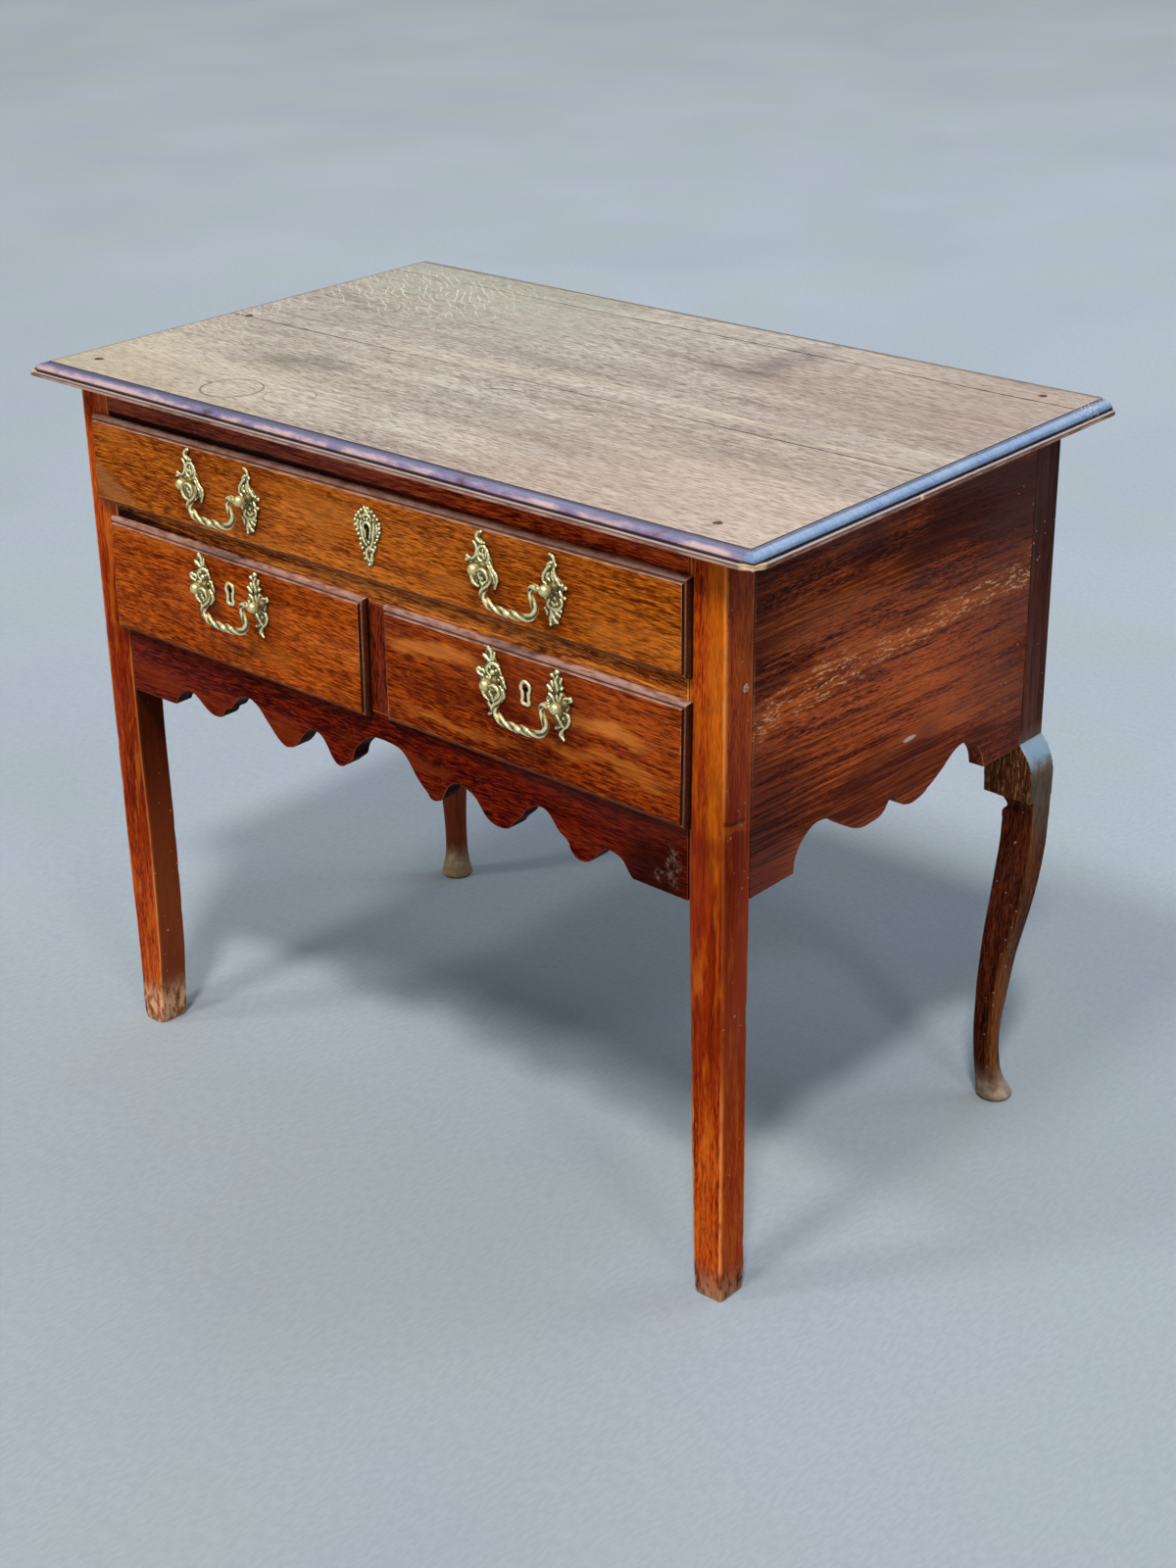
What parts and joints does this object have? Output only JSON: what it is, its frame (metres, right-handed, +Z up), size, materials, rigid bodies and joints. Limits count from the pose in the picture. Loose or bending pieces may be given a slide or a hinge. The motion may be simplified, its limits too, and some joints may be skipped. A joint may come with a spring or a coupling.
{
  "type": "lowboy",
  "caption": "Oak lowboy side table with a moulded top, one long drawer over short drawers, shaped apron, square front legs, cabriole rear legs and cast brass bail handles",
  "frame": {"origin": "on the floor, under the centre of the overall box", "axes": "+Z is up, +X runs along the width to the right of someone facing the drawers, the drawers face -Y"},
  "size_m": [0.8694, 0.5278, 0.71],
  "materials": {
    "top_oak": "old oak, waxed, greyed and scratched, with dark rings and spots",
    "post_oak": "orange-brown waxed oak with straight vertical grain, worn at the arrises",
    "case_oak": "dark red-brown waxed oak",
    "rear_leg_oak": "very dark brown polished oak, worn pale at the feet",
    "drawer_oak": "red-brown waxed oak with fine level grain",
    "inner_oak": "bare dry oak and pine, unpolished",
    "brass": "aged cast brass, polished on the high parts and dark in the hollows",
    "iron": "dark wrought iron"
  },
  "bodies": {
    "case": {"apron": "case_oak", "back_board": "inner_oak", "end_panel_left": "case_oak", "end_panel_right": "case_oak", "leg_front_left": "post_oak", "leg_front_right": "post_oak", "leg_rear_left": "rear_leg_oak", "leg_rear_right": "rear_leg_oak", "mid_rail": "post_oak", "muntin": "case_oak", "runner_lower_centre": "inner_oak", "runner_lower_left": "inner_oak", "runner_lower_right": "inner_oak", "runner_upper_left": "inner_oak", "runner_upper_right": "inner_oak", "top_board_front": "top_oak", "top_board_middle": "top_oak", "top_board_rear": "top_oak", "top_rail": "case_oak"},
    "drawer_top": {"drawer_top_back": "inner_oak", "drawer_top_bottom": "inner_oak", "drawer_top_front": "drawer_oak", "drawer_top_side_left": "inner_oak", "drawer_top_side_right": "inner_oak", "escutcheon": "brass", "handle_top_left_plate_left": "brass", "handle_top_left_plate_right": "brass", "handle_top_left_post_left": "brass", "handle_top_left_post_right": "brass", "handle_top_right_plate_left": "brass", "handle_top_right_plate_right": "brass", "handle_top_right_post_left": "brass", "handle_top_right_post_right": "brass", "lock_top": "iron"},
    "drawer_left": {"drawer_left_back": "inner_oak", "drawer_left_bottom": "inner_oak", "drawer_left_front": "drawer_oak", "drawer_left_side_left": "inner_oak", "drawer_left_side_right": "inner_oak", "handle_lower_left_plate_left": "brass", "handle_lower_left_plate_right": "brass", "handle_lower_left_post_left": "brass", "handle_lower_left_post_right": "brass", "keyhole_liner_left": "brass", "lock_left": "iron"},
    "drawer_right": {"drawer_right_back": "inner_oak", "drawer_right_bottom": "inner_oak", "drawer_right_front": "drawer_oak", "drawer_right_side_left": "inner_oak", "drawer_right_side_right": "inner_oak", "handle_lower_right_plate_left": "brass", "handle_lower_right_plate_right": "brass", "handle_lower_right_post_left": "brass", "handle_lower_right_post_right": "brass", "keyhole_liner_right": "brass", "lock_right": "iron"},
    "bail_top_left": {"handle_top_left_bail": "brass"},
    "bail_top_right": {"handle_top_right_bail": "brass"},
    "bail_lower_left": {"handle_lower_left_bail": "brass"},
    "bail_lower_right": {"handle_lower_right_bail": "brass"}
  },
  "joints": [
    {"name": "drawer_top_slide", "type": "slide", "parent": "case", "child": "drawer_top", "axis": [0, -1, 0], "range_m": [0, 0.35]},
    {"name": "drawer_left_slide", "type": "slide", "parent": "case", "child": "drawer_left", "axis": [0, -1, 0], "range_m": [0, 0.35]},
    {"name": "drawer_right_slide", "type": "slide", "parent": "case", "child": "drawer_right", "axis": [0, -1, 0], "range_m": [0, 0.35]},
    {"name": "bail_top_left_hinge", "type": "hinge", "parent": "drawer_top", "child": "bail_top_left", "pos_m": [-0.183, -0.25805, 0.6322], "axis": [-1, 0, 0], "range_deg": [-8, 175]},
    {"name": "bail_top_right_hinge", "type": "hinge", "parent": "drawer_top", "child": "bail_top_right", "pos_m": [0.1847, -0.25805, 0.6343], "axis": [-1, 0, 0], "range_deg": [-8, 175]},
    {"name": "bail_lower_left_hinge", "type": "hinge", "parent": "drawer_left", "child": "bail_lower_left", "pos_m": [-0.1752, -0.25805, 0.5326], "axis": [-1, 0, 0], "range_deg": [-8, 175]},
    {"name": "bail_lower_right_hinge", "type": "hinge", "parent": "drawer_right", "child": "bail_lower_right", "pos_m": [0.1936, -0.25805, 0.5333], "axis": [-1, 0, 0], "range_deg": [-8, 175]}
  ]
}
